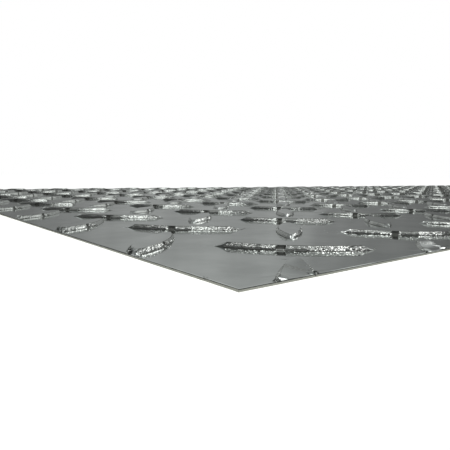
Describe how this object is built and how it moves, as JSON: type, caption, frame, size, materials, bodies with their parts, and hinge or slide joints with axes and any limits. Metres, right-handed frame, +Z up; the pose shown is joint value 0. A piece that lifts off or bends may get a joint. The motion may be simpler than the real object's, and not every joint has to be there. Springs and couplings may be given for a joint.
{
  "type": "foam sleeping pad",
  "caption": "Long, very thin sleeping mat: a bright metal facing with raised diamond tread lugs, bonded to a flat pale foam backing.",
  "frame": {"origin": "centre of the flat underside", "axes": "+X along the mat's length, +Y across its width, +Z up through the tread lugs"},
  "size_m": [1.83, 0.508, 0.0019],
  "materials": {
    "facing_metal": "rolled bright, with grainy flanks on the raised lugs",
    "film": "clear adhesive film, seen only as a dark line at the cut edge",
    "backing_foam": "matt fine-celled foam skin, warm pale grey"
  },
  "bodies": {
    "root": {"tread_facing": "facing_metal", "bond_film": "film", "foam_backing": "backing_foam"}
  },
  "joints": []
}
